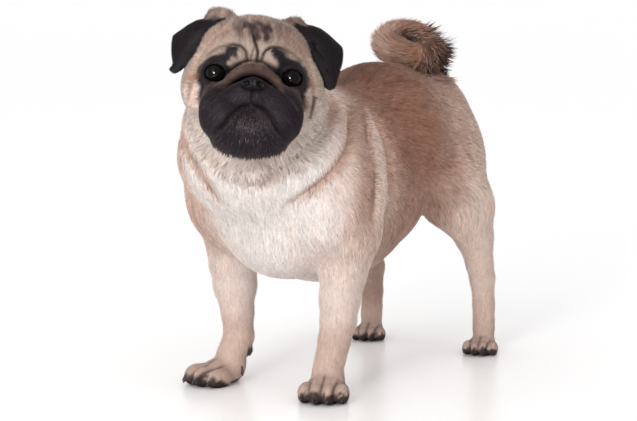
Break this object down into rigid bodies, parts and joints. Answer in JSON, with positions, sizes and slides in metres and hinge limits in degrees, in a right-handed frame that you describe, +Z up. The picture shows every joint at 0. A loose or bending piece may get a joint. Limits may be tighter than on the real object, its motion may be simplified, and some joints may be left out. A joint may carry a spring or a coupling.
{
  "type": "pug model",
  "caption": "Life-size standing pug with a folded face, drop ears and a tight curled tail, its head turned to one side.",
  "frame": {"origin": "on the floor, under the middle of the standing model's bounding box", "axes": "+Z up, -Y the way the body faces, +X the animal's left side"},
  "size_m": [0.2106, 0.4668, 0.3784],
  "materials": {
    "coat": "short fur",
    "ear": "velvety short fur",
    "eye": "polished"
  },
  "bodies": {
    "root": {"head": "coat", "neck": "coat", "torso": "coat", "tail_base": "coat", "tail_curl": "coat", "foreleg_left": "coat", "foreleg_right": "coat", "hindleg_left": "coat", "hindleg_right": "coat", "ear_left": "ear", "ear_right": "ear", "eye_left": "eye", "eye_right": "eye"}
  },
  "joints": []
}
